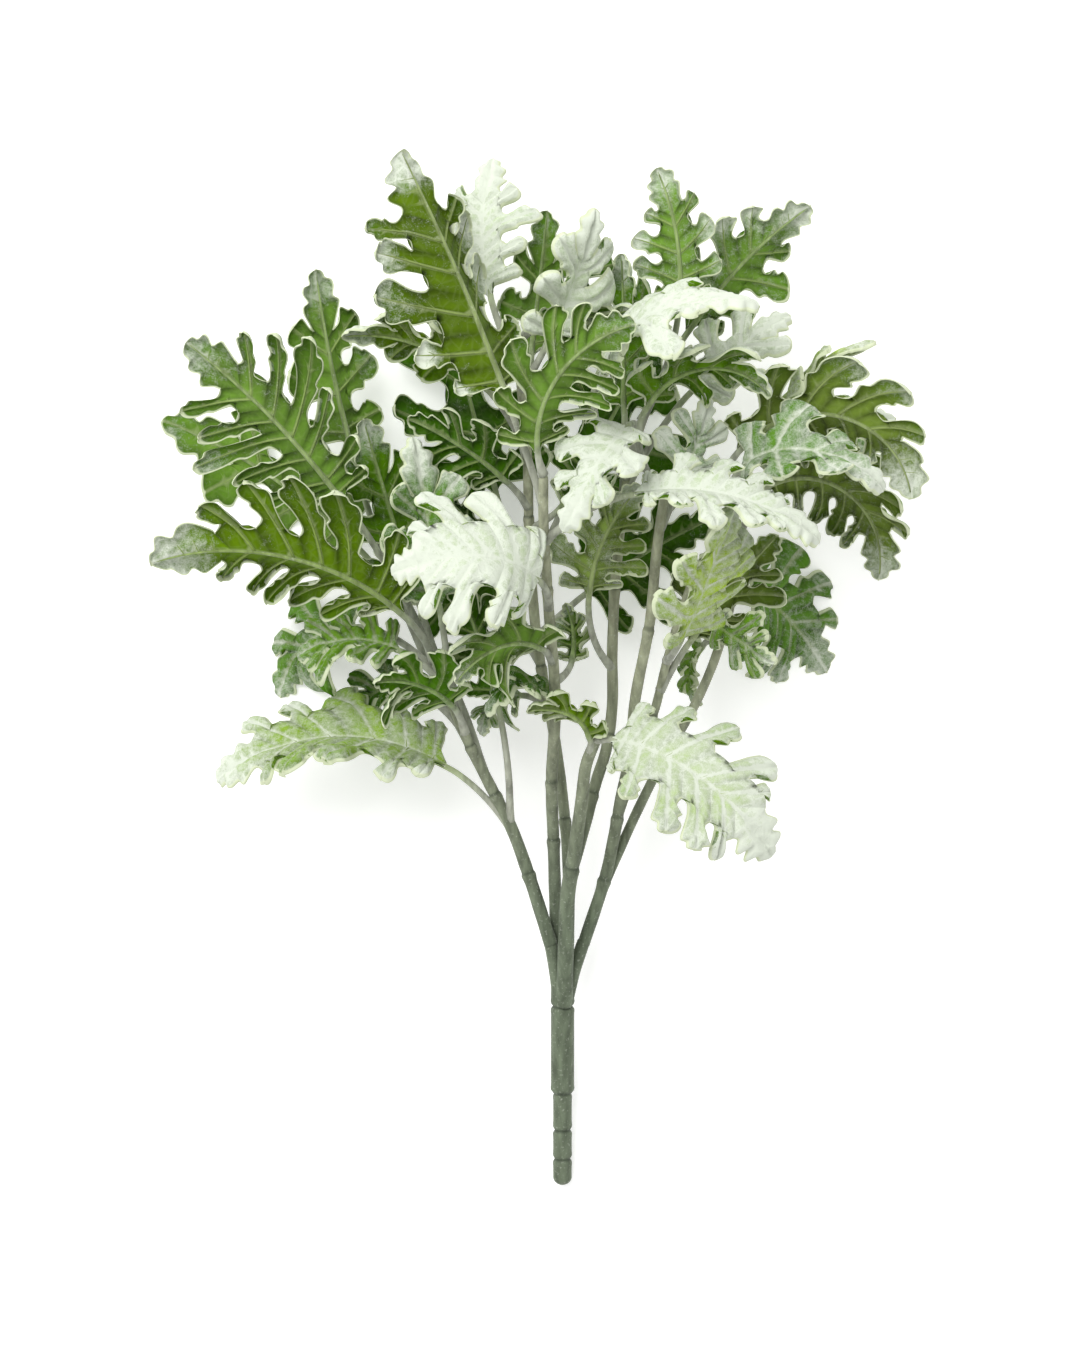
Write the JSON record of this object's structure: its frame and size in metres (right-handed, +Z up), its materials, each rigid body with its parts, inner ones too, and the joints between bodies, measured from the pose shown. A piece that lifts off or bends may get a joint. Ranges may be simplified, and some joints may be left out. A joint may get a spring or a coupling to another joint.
{
  "type": "artificial dusty miller spray",
  "caption": "Artificial dusty miller pick: a moulded stem handle that forks into jointed branches, with lobed felty leaves on bent stalks, lying on its side.",
  "frame": {"origin": "middle of the footprint, on the table the spray lies on", "axes": "+Y along the handle from its end towards the leaf tips, +X across the spray, +Z up from the table"},
  "size_m": [0.2996, 0.4036, 0.1475],
  "materials": {
    "stem_plastic": "matte",
    "felt_leaf": "flocked, white-frosted on the upper side and at the edges"
  },
  "bodies": {
    "root": {"branch_back": "stem_plastic", "branch_centre": "stem_plastic", "branch_front": "stem_plastic", "branch_left": "stem_plastic", "branch_right": "stem_plastic", "handle": "stem_plastic", "leaf_back_01": "felt_leaf", "leaf_back_02": "felt_leaf", "leaf_back_03": "felt_leaf", "leaf_back_04": "felt_leaf", "leaf_back_05": "felt_leaf", "leaf_back_06": "felt_leaf", "leaf_back_07": "felt_leaf", "leaf_back_08": "felt_leaf", "leaf_back_09": "felt_leaf", "leaf_back_10": "felt_leaf", "leaf_back_11": "felt_leaf", "leaf_back_12": "felt_leaf", "leaf_back_13": "felt_leaf", "leaf_back_14": "felt_leaf", "leaf_centre_01": "felt_leaf", "leaf_centre_02": "felt_leaf", "leaf_centre_03": "felt_leaf", "leaf_centre_04": "felt_leaf", "leaf_centre_05": "felt_leaf", "leaf_centre_06": "felt_leaf", "leaf_centre_07": "felt_leaf", "leaf_frontRise_01": "felt_leaf", "leaf_frontRise_02": "felt_leaf", "leaf_frontRise_03": "felt_leaf", "leaf_frontRise_04": "felt_leaf", "leaf_frontRise_05": "felt_leaf", "leaf_frontRise_06": "felt_leaf", "leaf_frontRise_07": "felt_leaf", "leaf_front_01": "felt_leaf", "leaf_front_02": "felt_leaf", "leaf_left_01": "felt_leaf", "leaf_left_02": "felt_leaf", "leaf_left_03": "felt_leaf", "leaf_left_04": "felt_leaf", "leaf_left_05": "felt_leaf", "leaf_left_06": "felt_leaf", "leaf_left_07": "felt_leaf", "leaf_left_08": "felt_leaf", "leaf_left_09": "felt_leaf", "leaf_left_10": "felt_leaf", "leaf_left_11": "felt_leaf", "leaf_left_12": "felt_leaf", "leaf_rightInner_01": "felt_leaf", "leaf_rightInner_02": "felt_leaf", "leaf_rightInner_03": "felt_leaf", "leaf_rightOuter_01": "felt_leaf", "leaf_rightOuter_02": "felt_leaf", "leaf_rightOuter_03": "felt_leaf", "leaf_rightOuter_04": "felt_leaf", "leaf_rightOuter_05": "felt_leaf", "leaf_rightOuter_06": "felt_leaf", "leaf_rightOuter_07": "felt_leaf", "leaf_right_01": "felt_leaf", "leaf_right_02": "felt_leaf"}
  },
  "joints": []
}
